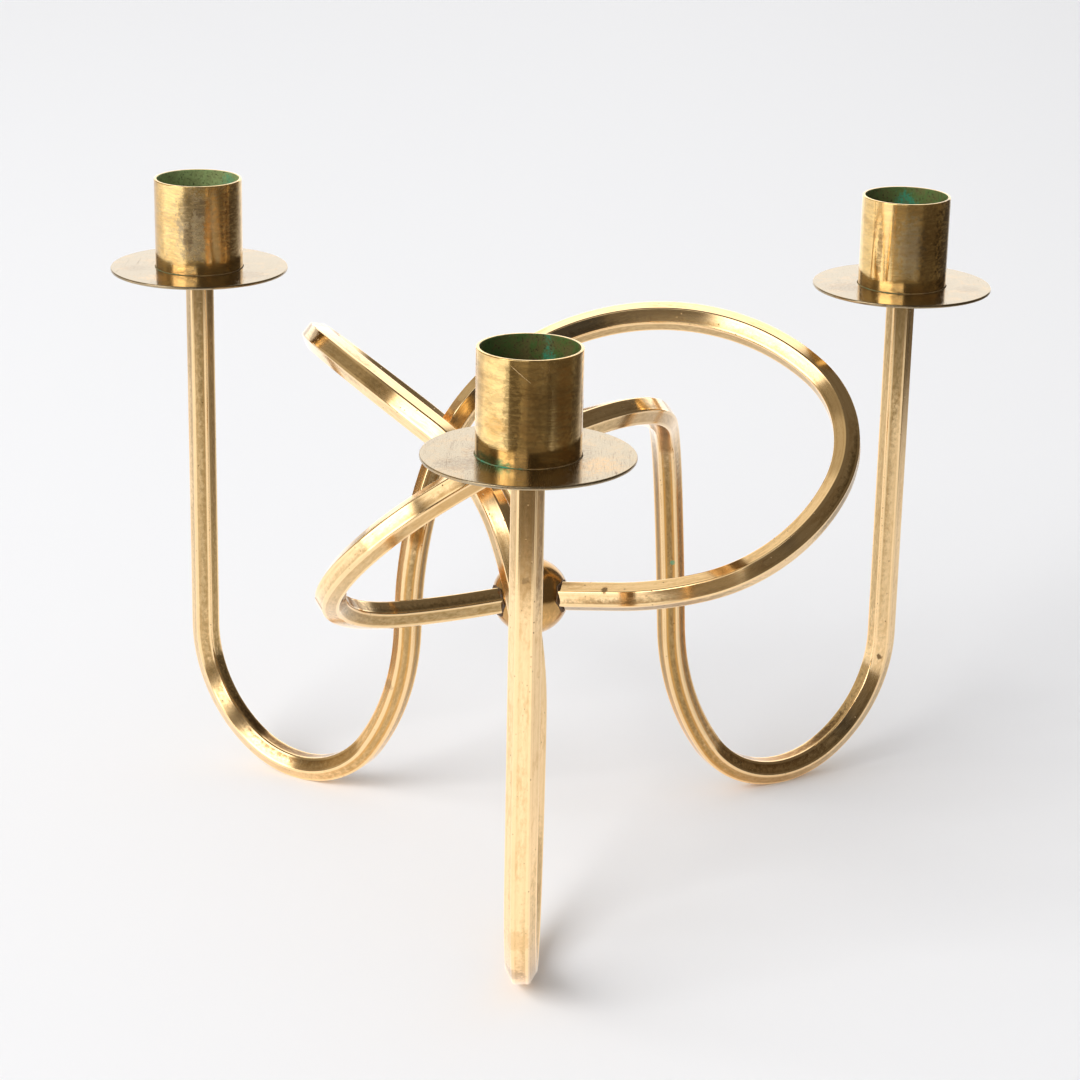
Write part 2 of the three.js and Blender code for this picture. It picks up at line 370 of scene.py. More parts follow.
def run_bar(mesh, sizes, arm):
    """One whole bar, in the frame of its arm."""
    bends = bends_of(arm)
    down, inward = Vector((0, 0, -1)), Vector((-1, 0, 0))
    cup = arm_frame(sizes, arm).inverted() @ box_centre(f"{arm}_drip_pan")
    top = Vector((cup.x, 0, -sizes.pan_thickness))
    ring = section_ring(mesh, sizes, top, down, inward)
    run = BarRun(mesh, ring, top, down, inward, sizes.bend_step)
    steep = math.sin(bends["outer_foot_angle"])
    foot = bends["outer_foot_radius"] * steep + bends["foot_radius"] * (1 - steep)
    stem = bends["foot_depth"] - foot + top.z
    for _ in range(STEM_RINGS):
        run.straight(stem / STEM_RINGS)
    run.follow(bends, "outer_foot", "foot", "inner_foot")
    run.straight(bends["inner_leg"])
    run.roll(bends["shoulder_roll"])
    run.follow(bends, "lower_shoulder", "upper_shoulder")
    run.roll(bends["loop_roll"])
    run.follow(bends, "loop_top", "loop_tip")
    run.roll(bends["return_roll"])
    run.follow(bends, "return")
    ball = Vector((sizes.ball_offset, 0, -sizes.ball_drop))
    ball.rotate(Matrix.Rotation(-math.radians(BEARINGS[arm]), 3, "Z"))
    run.aim_at(ball, bends["tail_radius"], sizes.ball_radius * BAR_END)
    return run


def close_ends(mesh):
    """Fills the two ends of a length of bar and turns its faces outward."""
    ends = [edge for edge in mesh.edges if edge.is_boundary]
    bmesh.ops.holes_fill(mesh, edges=ends, sides=0)
    bmesh.ops.recalc_face_normals(mesh, faces=mesh.faces[:])


def bar_piece(arm, sizes, finish):
    """The bar of one arm, with a little worn off the foot where it stands."""
    mesh = bmesh.new()
    run = run_bar(mesh, sizes, arm)
    close_ends(mesh)
    for face in mesh.faces:
        face.smooth = len(face.verts) == 4
    mesh.transform(arm_frame(sizes, arm))
    for vert in mesh.verts:
        vert.co.z = max(vert.co.z, 0)
    material = bar_finish(arm, sizes, finish)
    even_shading(finished(f"{arm}_bar_brass", mesh, material, f"{arm}_bar"))
    return run


def solder_piece(arm, sizes, run, material):
    """The thin line of solder that fills the joint between a bar and the ball."""
    mesh = bmesh.new()
    inward = run.inward - run.along * run.inward.dot(run.along)
    point = run.point - run.along * sizes.ball_radius * SOLDER_START
    ring = section_ring(mesh, sizes, point, run.along, inward.normalized())
    widen(mesh, ring, SOLDER_WIDTH, point)
    for wider, length in SOLDER_RINGS:
        shift = run.along * length * MM
        made = bmesh.ops.spin(
            mesh, geom=ring, steps=1, cent=point, axis=run.along, dvec=shift, angle=0
        )
        ring = made["geom_last"]
        point = point + shift
        widen(mesh, ring, wider, point)
    close_ends(mesh)
    mesh.transform(arm_frame(sizes, arm))
    finished(f"{arm}_solder_line", mesh, material)


def widen(mesh, ring, by, middle):
    """Widens a ring about its middle."""
    verts = [corner for corner in ring if isinstance(corner, bmesh.types.BMVert)]
    bmesh.ops.scale(mesh, vec=(by,) * 3, verts=verts, space=Matrix.Translation(-middle))


# Turned pieces


def turned(profile, sides, rounded=()):
    """A shape turned about Z from [radius, height] points.

    Each rounding is the number of a point, the radius and the number of short edges.
    """
    mesh = bmesh.new()
    corners = [mesh.verts.new((radius, 0, height)) for radius, height in profile]
    closing = corners[1:] + corners[:1] if profile[0][0] > 0 else corners[1:]
    for one, other in zip(corners, closing):
        mesh.edges.new((one, other))
    for index, radius, segments in rounded:
        round_corner(mesh, corners[index], radius, segments)
    bmesh.ops.spin(
        mesh,
        geom=mesh.verts[:] + mesh.edges[:],
        cent=(0, 0, 0),
        axis=(0, 0, 1),
        angle=2 * math.pi,
        steps=sides,
        use_merge=True,
    )
    bmesh.ops.remove_doubles(mesh, verts=mesh.verts[:], dist=1e-6)
    bmesh.ops.recalc_face_normals(mesh, faces=mesh.faces[:])
    place = mesh.verts.layers.float_vector.new("turned_place")
    for vert in mesh.verts:
        vert[place] = vert.co
    for face in mesh.faces:
        face.smooth = True
    return mesh


def round_corner(mesh, corner, radius, segments):
    """Rounds one corner of a profile with short edges."""
    before, after = (edge.other_vert(corner) for edge in corner.link_edges)
    to_before = (before.co - corner.co).normalized()
    to_after = (after.co - corner.co).normalized()
    half = to_before.angle(to_after) / 2
    reach = radius / math.tan(half)
    centre = corner.co + (to_before + to_after).normalized() * radius / math.sin(half)
    first = (corner.co + to_before * reach - centre).normalized()
    last = (corner.co + to_after * reach - centre).normalized()
    chain = [before]
    for i in range(segments + 1):
        chain.append(mesh.verts.new(centre + first.slerp(last, i / segments) * radius))
    chain.append(after)
    mesh.verts.remove(corner)
    for one, other in zip(chain, chain[1:]):
        mesh.edges.new((one, other))


def pan_piece(arm, sizes, finish):
    """A drip pan: a thin turned disc with a softened edge."""
    edge = sizes.pan_thickness * 0.33
    outline = (
        (sizes.hole_radius, -sizes.pan_thickness),
        (sizes.pan_radius * 0.5, -sizes.pan_thickness),
        (sizes.pan_radius, -sizes.pan_thickness),
        (sizes.pan_radius, 0),
        (sizes.cup_radius * 1.06, 0),
        (sizes.hole_radius, 0),
    )
    mesh = turned(outline, sizes.turned_sides, ((2, edge, 4), (3, edge, 4)))
    mesh.transform(cup_frame(sizes, arm))
    material = pan_finish(arm, finish)
    even_shading(finished(f"{arm}_pan_brass", mesh, material, f"{arm}_drip_pan"))


def cup_piece(arm, sizes, finish):
    """A candle cup: a turned wall on a floor, bright outside and green inside."""
    outer, bore, rim = sizes.cup_radius, sizes.cup_bore, sizes.cup_height
    edge = (outer - bore) * 0.3
    outline = (
        (sizes.hole_radius, CUP_GAP),
        (outer, CUP_GAP),
        (outer, rim * 0.5),
        (outer, rim),
        (bore, rim),
        (bore, rim * 0.5),
        (bore, sizes.cup_floor),
        (sizes.hole_radius, sizes.cup_floor),
    )
    rounded = ((1, edge * 0.7, 3), (3, edge, 4), (4, edge, 4), (6, edge * 2, 4))
    mesh = turned(outline, sizes.turned_sides, rounded)
    mesh.transform(cup_frame(sizes, arm))
    material = cup_finish(arm, sizes, finish)
    even_shading(finished(f"{arm}_cup_brass", mesh, material, f"{arm}_candle_cup"))


def seam_piece(arm, sizes, material):
    """Old wax, dust and verdigris in the corner between a cup and its pan, uneven all round."""
    width, radius = sizes.seam_width, sizes.cup_radius
    outline = (
        (radius - width * 0.3, 0),
        (radius + width, 0),
        (radius + width * 0.35, width * 0.45),
        (radius - width * 0.3, width * 0.9),
    )
    mesh = turned(outline, sizes.turned_sides)
    own_noise = Vector((BEARINGS[arm], 0, 0))
    for vert in mesh.verts:
        lump = noise.noise(vert.co * SEAM_LUMPS + own_noise) * SEAM_LUMP_SIZE
        outward = Vector((vert.co.x, vert.co.y, 0)).normalized()
        if vert.co.z > 0 or vert.co.xy.length > radius:
            vert.co += outward * lump * width
            vert.co.z *= 1 + lump
    mesh.transform(cup_frame(sizes, arm))
    finished(f"{arm}_cup_seam", mesh, material)


def ball_piece(sizes, finish):
    """The turned ball."""
    outline = []
    for i in range(BALL_RINGS + 1):
        turn = math.pi * i / BALL_RINGS
        radius = sizes.ball_radius * math.sin(turn) if 0 < i < BALL_RINGS else 0
        outline.append((radius, -sizes.ball_radius * math.cos(turn)))
    mesh = turned(outline, sizes.turned_sides // 2)
    middle = Matrix.Translation((sizes.ball_offset, 0, -sizes.ball_drop))
    mesh.transform(stand_frame(sizes) @ middle)
    finished("ball_brass", mesh, ball_finish(finish), "centre_ball")


# Nodes


def emptied(owner):
    """The node tree of a material or world, with nothing in it."""
    owner.use_nodes = True
    owner.node_tree.nodes.clear()
    return owner.node_tree


def tinted(colour, level=1.0):
    """A colour at a brightness."""
    return (*(part * level for part in colour[:3]), 1)


class Nodes:
    """A node tree in the making."""

    def __init__(self, tree):
        self.tree = tree

    def put(self, kind, feeds=None, **settings):
        """A node with its settings made, and its sockets set or linked to other nodes."""
        node = self.tree.nodes.new(kind)
        for name, value in settings.items():
            setattr(node, name, value)
        for name, feed in (feeds or {}).items():
            socket = node.inputs[name]
            if isinstance(feed, bpy.types.NodeSocket):
                self.tree.links.new(feed, socket)
            else:
                socket.default_value = feed
        return node

    def sums(self, operation, one, other=0.0, third=0.0):
        """The result of a Math node."""
        feeds = {0: one, 1: other, 2: third}
        return self.put("ShaderNodeMath", feeds, operation=operation).outputs[0]

    def times(self, one, other):
        """One value times another."""
        return self.sums("MULTIPLY", one, other)

    def scaled(self, value, by, plus):
        """A value times another, plus a third."""
        return self.sums("MULTIPLY_ADD", value, by, plus)

    def larger(self, one, other):
        """The larger of two values."""
        return self.sums("MAXIMUM", one, other)

    def vectors(self, operation, one, other):
        """The result of a Vector Math node."""
        feeds = {0: one, 1: other}
        return self.put("ShaderNodeVectorMath", feeds, operation=operation).outputs[0]

    def parts(self, place):
        """The three parts of a place."""
        return self.put("ShaderNodeSeparateXYZ", {0: place}).outputs

    def off_axis(self, parts):
        """How far a place is from its own Z axis."""
        squares = (self.sums("POWER", part, 2) for part in (parts[0], parts[1]))
        return self.sums("SQRT", self.sums("ADD", *squares))

    def spread(self, value, low, high, to_low=0.0, to_high=1.0):
        """A value taken smoothly from one range to another."""
        feeds = {
            "Value": value,
            "From Min": low,
            "From Max": high,
            "To Min": to_low,
            "To Max": to_high,
        }
        settings = {"interpolation_type": "SMOOTHSTEP", "clamp": True}
        return self.put("ShaderNodeMapRange", feeds, **settings).outputs[0]

    def mixed(self, share, one, other):
        """One colour mixed into another by a share."""
        feeds = {0: share, 6: one, 7: other}
        return self.put("ShaderNodeMix", feeds, data_type="RGBA").outputs[2]

    def shifted(self, place, scale=(1, 1, 1), turn=(0, 0, 0), move=(0, 0, 0)):
        """A place moved, turned and stretched by a Mapping node."""
        feeds = {"Vector": place, "Scale": scale, "Rotation": turn, "Location": move}
        return self.put("ShaderNodeMapping", feeds).outputs[0]

    def clouds(self, place, scale, detail, roughness=0.55, distortion=0.0):
        """Noise from 0 to 1."""
        feeds = {
            "Vector": place,
            "Scale": scale,
            "Detail": detail,
            "Roughness": roughness,
            "Distortion": distortion,
        }
        return self.put("ShaderNodeTexNoise", feeds).outputs[0]


# Node groups of old brass. Each function fills a group from its inputs and gives its outputs


def tarnish(group, given):
    """Blotches where the polish has gone: large soft clouds broken up by finer ones."""
    large = group.clouds(given["Place"], given["Scale"], 5, 0.6, 0.3)
    fine = group.clouds(given["Place"], group.times(given["Scale"], 7.3), 6, 0.65)
    both = group.scaled(fine, 0.35, group.times(large, 0.65))
    start = group.scaled(given["Amount"], -0.35, 0.62)
    end = group.sums("ADD", start, 0.14)
    return {
        "Blotches": group.spread(both, start, end),
        "Mottle": group.spread(fine, 0.35, 0.7),
    }


def polishing_lines(group, given):
    """Hairlines along one direction, and longer smears where the polishing cloth missed."""
    drawn = group.vectors("MULTIPLY", given["Place"], given["Stretch"])
    smeared = group.vectors("MULTIPLY", given["Place"], given["Smear"])
    smears = group.clouds(smeared, group.times(given["Fineness"], 0.4), 6, 0.7)
    return {
        "Lines": group.clouds(drawn, given["Fineness"], 3, 0.7),
        "Smears": group.spread(smears, 0.46, 0.62),
    }


def stray_scratches(group, given):
    """Thin broken lines in three directions across a surface."""
    total = None
    for degrees, length in ((17, 0.05), (74, 0.04), (128, 0.06)):
        turn = math.radians(degrees)
        place = group.shifted(given["Place"], (1, length, 1), (turn * 0.3, 0, turn))
        wave = group.clouds(place, group.times(given["Scale"], 9), 1, 0.5, 0.25)
        off_middle = group.sums("ABSOLUTE", group.sums("SUBTRACT", wave, 0.5))
        line = group.spread(off_middle, 0.0, 0.012, 1, 0)
        moved = group.shifted(given["Place"], move=(degrees, 0, 0))
        here = group.clouds(moved, given["Scale"], 2, 0.5)
        broken = group.spread(here, group.scaled(given["Amount"], -0.3, 0.68), 0.75)
        scratch = group.times(line, broken)
        total = group.larger(total, scratch) if total else scratch
    return {"Scratches": total}


def pits(group, given):
    """Small dark pits, scattered thinly."""
    feeds = {"Vector": given["Place"], "Scale": given["Scale"]}
    cells = group.put("ShaderNodeTexVoronoi", feeds).outputs
    near = group.spread(cells["Distance"], 0.08, 0.26, 1, 0)
    chosen = group.put("ShaderNodeSeparateColor", {0: cells["Color"]}).outputs[0]
    some = group.sums("LESS_THAN", chosen, given["Amount"])
    return {"Pits": group.times(near, some)}


def stain(group, given):
    """One stain at a place of its own, with a ragged edge."""
    away = group.vectors("SUBTRACT", given["Place"], given["Middle"])
    shares = group.vectors("DIVIDE", away, given["Reach"])
    far = group.put("ShaderNodeVectorMath", {0: shares}, operation="LENGTH").outputs["Value"]
    rough = group.sums("SUBTRACT", group.clouds(given["Place"], 900.0, 5, 0.65), 0.5)
    edge = group.scaled(rough, group.times(given["Raggedness"], 3.0), far)
    return {"Stain": group.spread(edge, 0.55, 1.1, 1, 0)}


def verdigris(group, given):
    """Green crust: dark green and brown, with blue-green powder where it is asked for."""
    soft = group.clouds(given["Place"], 230.0, 6, 0.68, 0.4)
    fine = group.clouds(given["Place"], 1700.0, 5, 0.72)
    both = group.scaled(fine, 0.45, group.times(soft, 0.55))
    base = group.mixed(group.spread(both, 0.42, 0.56), given["Bare"], given["Dark"])
    grainy = group.mixed(group.spread(fine, 0.46, 0.33), base, (0.02, 0.02, 0.008, 1))
    cover = group.times(given["Powder"], group.spread(both, 0.40, 0.58))
    powdery = group.mixed(cover, grainy, given["Pale"])
    # Pale specks: partly pale grains in the crust and partly painted glints of light
    glint_specks = group.times(group.spread(fine, 0.66, 0.72), 0.5)
    return {
        "Crust": group.mixed(glint_specks, powdery, (0.42, 0.46, 0.36, 1)),
        "Thickness": group.scaled(fine, 0.6, soft),
    }


# What fills each group, and its inputs besides the place: numbers, vectors of three and colours
# of four
EFFECTS = {
    "Tarnish blotches": (tarnish, {"Scale": 120.0, "Amount": 0.4}),
    "Polishing lines": (
        polishing_lines,
        {"Stretch": (1.0, 1.0, 1.0), "Smear": (1.0, 1.0, 1.0), "Fineness": 400.0},
    ),
    "Stray scratches": (stray_scratches, {"Scale": 90.0, "Amount": 0.5}),
    "Pits": (pits, {"Scale": 900.0, "Amount": 0.2}),
    "Stain": (
        stain,
        {"Middle": (0.0, 0.0, 0.0), "Reach": (0.003, 0.003, 0.003), "Raggedness": 0.5},
    ),
    "Verdigris": (
        verdigris,
        {
            "Dark": (0.012, 0.085, 0.042, 1),
            "Pale": (0.06, 0.38, 0.24, 1),
            "Bare": (0.16, 0.1, 0.03, 1),
            "Powder": 0.2,
        },
    ),
}


def new_group(name):
    """A node group of one effect, with its named inputs and outputs."""
    fill, defaults = EFFECTS[name]
    tree = bpy.data.node_groups.new(name, "ShaderNodeTree")

    def socket(label, kind, way):
        return tree.interface.new_socket(label, in_out=way, socket_type=f"NodeSocket{kind}")

    socket("Place", "Vector", "INPUT")
    for label, default in defaults.items():
        kind = "Float" if isinstance(default, float) else {3: "Vector", 4: "Color"}[len(default)]
        socket(label, kind, "INPUT").default_value = default
    group = Nodes(tree)
    results = fill(group, group.put("NodeGroupInput").outputs)
    for label, value in results.items():
        socket(label, "Color" if value.type == "RGBA" else "Float", "OUTPUT")
    group.put("NodeGroupOutput", results)
    return tree


class Metal(Nodes):
    """A brass material in the making: its colour and roughness are built up film by film."""

    def __init__(self, name, attribute=None, move=None):
        self.material = bpy.data.materials.new(name)
        super().__init__(emptied(self.material))
        if attribute:
            source = self.put("ShaderNodeAttribute", attribute_name=attribute)
            self.own = source.outputs["Vector"]
        else:
            self.own = self.put("ShaderNodeTexCoord").outputs["Object"]
        self.place = self.shifted(self.own, move=move) if move else self.own
        self.colour = None
        self.roughness = None
        self.metallic = 1.0
        self.bumps = []

    def effect(self, name, **feeds):
        """The outputs of an effect. Its group is made the first time it is asked for."""
        feeds.setdefault("Place", self.place)
        group = bpy.data.node_groups.get(name) or new_group(name)
        return self.put("ShaderNodeGroup", feeds, node_tree=group).outputs

    def stain(self, middle, reach, ragged, place=None):
        """One stain, at its place on the piece."""
        feeds = {"Middle": middle, "Reach": reach, "Raggedness": ragged}
        return self.effect("Stain", Place=place or self.own, **feeds)["Stain"]

    def cover(self, share, colour, strength=1.0, roughness=None, metallic=None):
        """Lays a film over what is there."""
        if strength != 1:
            share = self.times(share, strength)
        self.colour = self.mixed(share, self.colour, colour)
        if roughness is not None:
            self.roughness = self.blend(share, self.roughness, roughness)
        if metallic is not None:
            self.metallic = self.blend(share, self.metallic, metallic)

    def blend(self, share, one, other):
        feeds = {0: share, 2: one, 3: other}
        return self.put("ShaderNodeMix", feeds, data_type="FLOAT").outputs[0]

    def bump(self, height, depth):
        """Raises the surface by a height, times a depth in millimetres."""
        self.bumps.append((height, depth * MM))

    def done(self):
        """Links what was built to the shader."""
        normal = {}
        for height, depth in self.bumps:
            feeds = {"Height": height, "Distance": depth, "Strength": 1.0, **normal}
            normal = {"Normal": self.put("ShaderNodeBump", feeds).outputs[0]}
        feeds = {
            "Base Color": self.colour,
            "Roughness": self.roughness,
            "Metallic": self.metallic,
            **normal,
        }
        shader = self.put("ShaderNodeBsdfPrincipled", feeds)
        self.put("ShaderNodeOutputMaterial", {"Surface": shader.outputs[0]})
        return self.material


# Finishes

# How far off a bar's axis its ridges begin and end, and the strips beside them, in millimetres
RIDGES = (3.68, 3.80)
BESIDE_RIDGES = (3.50, 3.66)
# How far a film on one flat reaches across it, in millimetres. The other is out of all measure
FILM_WIDTH = 4
ALL_ROUND = 1000

# Films on the bars, some of them painted shade as well: the flat (degrees round the bar, none for
# all six), the middle and half-length along the bar in millimetres, the colour and its share
BAR_FILMS_AND_SHADE = {
    "front": (
        # Just under the pan: partly a film and partly painted shade where the pan shades the stem
        (120, 10, 30, "brown", 0.75),
        (120, 135, 36, "olive", 0.45),
        (180, 14, 26, "warm", 0.55),
        (-120, 6, 30, "olive", 0.5),
        (None, 150, 26, "warm", 0.5),
        (60, 178, 26, "olive", 0.55),
        (-60, 274, 24, "olive", 0.7),
        (0, 345, 18, "olive", 0.6),
        (None, 500, 26, "warm", 0.5),
    ),
    "right": (
        (0, 45, 78, "olive", 0.66),
        (-60, 8, 34, "olive", 0.8),
        (-60, 70, 44, "olive", 0.3),
        (0, 165, 42, "brown", 1.0),
        (-120, 150, 46, "olive", 0.68),
        (None, 190, 46, "orange", 0.3),
        (None, 238, 66, "olive", 0.42),
        (180, 240, 76, "olive", 0.95),
        (180, 188, 28, "orange", 0.6),
        (180, 262, 30, "brown", 0.45),
        (-120, 240, 64, "olive", 0.88),
        (-120, 182, 32, "brown", 0.3),
        (-120, 276, 36, "brown", 0.4),
        (-60, 232, 56, "brown", 0.72),
        (-60, 335, 28, "olive", 0.45),
        (-60, 410, 66, "olive", 0.55),
        (-60, 386, 28, "warm", 0.5),
        (-120, 495, 62, "olive", 0.85),
        (180, 462, 18, "olive", 0.9),
    ),
    "left": (
        (0, 55, 94, "olive", 0.98),
        (0, 24, 60, "brown", 0.6),
        (60, 50, 94, "olive", 0.68),
        (120, 6, 30, "olive", 0.5),
        (120, 120, 80, "olive", 0.35),
        (0, 165, 40, "brown", 1.0),
        (None, 206, 44, "orange", 0.3),
        (None, 240, 58, "olive", 0.3),
        (120, 218, 50, "olive", 0.55),
        (60, 200, 40, "warm", 0.5),
        (180, 250, 56, "olive", 0.9),
        (180, 262, 26, "brown", 0.45),
        (180, 365, 90, "olive", 0.7),
        (0, 442, 22, "olive", 0.95),
        (0, 512, 36, "olive", 0.75),
        (0, 520, 26, "brown", 0.45),
    ),
}

# Spots and nicks: the flat, the place along the bar and the reach in millimetres, the colour
# and its share
BAR_SPOTS = {
    "front": (
        (180, 28.6, 0.9, "brown", 0.4),
        (-170, 121, 4, "warm", 0.35),
        (-150, 136, 3.5, "brown", 0.4),
    ),
    "right": ((-111, 249.3, 0.8, "verdigris_pale", 0.6), (-60, 110.2, 0.9, "brown", 0.85)),
    "left": ((102, 519.6, 1.1, "brown", 0.75), (60, 214, 2.2, "brown", 0.4)),
}

# The streaky inner legs of the back bars and the pitted foot of the front one: the flat, the
# middle and half-length, and how ragged
INNER_LEG = (None, 236, 62, 0.3)
PITTED_FOOT = (None, 134, 30, 0.4)

# Stains on the pans: the bearing from the front in degrees, the distance from the middle
# and the reach in millimetres, the colour and its share
PAN_STAINS = {
    "front": (
        (-58, 18, 6, "brown", 0.5),
        (64, 18, 6, "warm", 0.6),
        (8, 14, 5, "brown", 0.5),
        (-28, 13.2, 2.2, "verdigris_pale", 0.75),
        (-52, 13, 1.6, "verdigris_pale", 0.5),
    ),
    "right": ((-70, 17, 6, "brown", 0.5), (20, 16, 5, "warm", 0.6), (75, 19, 4, "brown", 0.4)),
    "left": ((60, 18, 5, "brown", 0.4), (-30, 17, 5, "warm", 0.6), (-75, 18, 4, "brown", 0.35)),
}
# The ring of dirt round a cup's foot, from the middle of the pan in millimetres
DIRTY_RING = (12.6, 16.5)

# Stains on the cups: the bearing from the front in degrees, the height, the half-width
# and the half-height in millimetres, the colour and its share
CUP_STAINS = {
    "front": (
        (-17, 13, 2.4, 16, "olive", 0.8),
        (-62, 18, 5, 6, "warm", 0.45),
        (-40, 9, 4, 3, "orange", 0.4),
        (5, 12, 2.5, 12, "warm", 0.5),
        (26, 13, 5, 9, "olive", 0.5),
        (43, 14, 3, 14, "orange", 0.5),
        (68, 12, 4, 16, "brown", 0.6),
        (-48, 0.8, 7, 1.6, "verdigris_pale", 0.75),
    ),
    "right": (
        (-38, 11, 0.9, 10, "brown", 0.75),
        (4, 13, 4.5, 10, "worn", 0.7),
        (30, 14, 4, 15, "brown", 0.5),
        (66, 14, 6, 18, "brown", 0.9),
    ),
    "left": (
        (-70, 13, 6, 18, "warm", 0.6),
        (4, 14, 6, 12, "worn", 0.85),
        (-8, 19, 3, 5, "olive", 0.6),
        (-6, 11, 1.6, 4, "brown", 0.6),
        (15, 19, 3, 3, "brown", 0.5),
        (20, 12, 1.2, 11, "orange", 0.75),
        (40, 12, 6, 12, "warm", 0.5),
        (62, 12, 5, 16, "brown", 0.7),
    ),
}
# How much of each cup is streaked and smeared, and how much duller it is than clean brass
CUP_WEAR = {"front": (0.36, 0.15, 0.0), "right": (0.15, 0.2, 0.02), "left": (0.22, 0.4, 0.06)}
# How thin and pale the green film inside each cup is. The left cup's share is partly a paler
# film and partly painted light on its inner wall
CUP_FILM_AND_LIGHT = {"front": 0.08, "right": 0.2, "left": 0.85}
# Blue-green powder inside the cups: the bearing, height, half-width and half-height
CUP_POWDER = {"front": (160, 20, 1.9, 7), "right": (176, 20, 4, 4), "left": (135, 21, 4.5, 4)}
# The heights over which the dirt at a cup's foot fades, and how far past the bore the green
# ends on the rim, in millimetres
FOOT_DIRT = (0.4, 2.2)
GREEN_EDGE = (0.10, 0.24)

# The long slanting scratch on the front cup: its slant in degrees, and its middle and reach in
# millimetres after the cup is turned by that slant
SCRATCH_SLANT = -39.7
SCRATCH_MIDDLE = (-15.1, -12.1, 15.8)
SCRATCH_REACH = (3.6, 3, 0.09)

# The greenest part of the seams
GREEN_SEAM_MIDDLE = (-8.5, -9.2, 0)
GREEN_SEAM_REACH = (9, 9, 9)


def on_flat(sizes, flat, along):
    """The middle of a flat at a length along the bar."""
    out, turn = sizes.across_flats / 2, math.radians(flat)
    return (out * math.cos(turn), out * math.sin(turn), along * MM)


def film_on(metal, sizes, flat, middle, reach, ragged):
    """Where a film lies along a bar: on one flat, or all round."""
    if flat is None:
        return metal.stain(mm(0, 0, middle), mm(ALL_ROUND, ALL_ROUND, reach), ragged)
    return metal.stain(on_flat(sizes, flat, middle), mm(FILM_WIDTH, FILM_WIDTH, reach), ragged)


def bar_finish(arm, sizes, finish):
    """Drawn bar: polished flats, films where hands don't reach, ridges rubbed bright."""
    metal = Metal(f"{arm} bar brass", "bar_place", (0, 0, ARMS.index(arm) * 1.7))
    lines = metal.effect(
        "Polishing lines", Stretch=(1.0, 1.0, 0.02), Smear=(1.0, 1.0, 0.16), Fineness=3000.0
    )
    drawn_out = metal.shifted(metal.place, (1, 1, 0.4))
    blotches = metal.effect(
        "Tarnish blotches", Place=drawn_out, Scale=190.0, Amount=finish.patina
    )
    off_axis = metal.off_axis(metal.parts(metal.own))
    ridge = metal.spread(off_axis, *mm(*RIDGES))
    not_ridge = metal.sums("SUBTRACT", 1, ridge)
    beside = metal.times(metal.spread(off_axis, *mm(*BESIDE_RIDGES)), not_ridge)
    metal.colour = finish.bright
    metal.roughness = metal.scaled(lines["Lines"], 0.08, finish.polish - 0.03)
    metal.cover(blotches["Blotches"], finish.warm, 0.4, finish.polish + 0.06)
    metal.cover(blotches["Mottle"], finish.warm, 0.12, finish.polish + 0.05)
    # Some films under the front pan are partly painted shade
    for flat, middle, reach, colour, strength in BAR_FILMS_AND_SHADE[arm]:
        film = film_on(metal, sizes, flat, middle, reach, 0.3)
        cloudy = metal.times(film, metal.scaled(blotches["Mottle"], 0.3, 0.83))
        metal.cover(cloudy, getattr(finish, colour), strength, finish.polish + 0.1)
    if arm != "front":
        leg = film_on(metal, sizes, *INNER_LEG)
        streaky = metal.times(leg, lines["Smears"])
        metal.cover(metal.times(leg, beside), finish.orange, 0.55)
        metal.cover(streaky, finish.olive, 0.4, finish.polish + 0.12)
    metal.cover(beside, finish.warm, 0.15)
    metal.cover(lines["Smears"], finish.warm, 0.12, finish.polish + 0.08)
    metal.cover(ridge, finish.bright, 0.75, finish.polish)
    for flat, middle, reach, colour, strength in BAR_SPOTS[arm]:
        spot = metal.stain(on_flat(sizes, flat, middle), mm(reach, reach, reach), 0.7)
        metal.cover(spot, getattr(finish, colour), strength, 0.35)
    pitted = metal.effect("Pits", Scale=900.0, Amount=0.06)["Pits"]
    if arm == "front":
        eaten = metal.effect("Pits", Scale=1500.0, Amount=0.35)["Pits"]
        foot = film_on(metal, sizes, *PITTED_FOOT)
        pitted = metal.larger(pitted, metal.times(foot, eaten))
    metal.cover(pitted, finish.brown, 0.6, 0.5)
    metal.bump(lines["Lines"], 0.004)
    metal.bump(metal.sums("SUBTRACT", 1, pitted), 0.02)
    return metal.done()


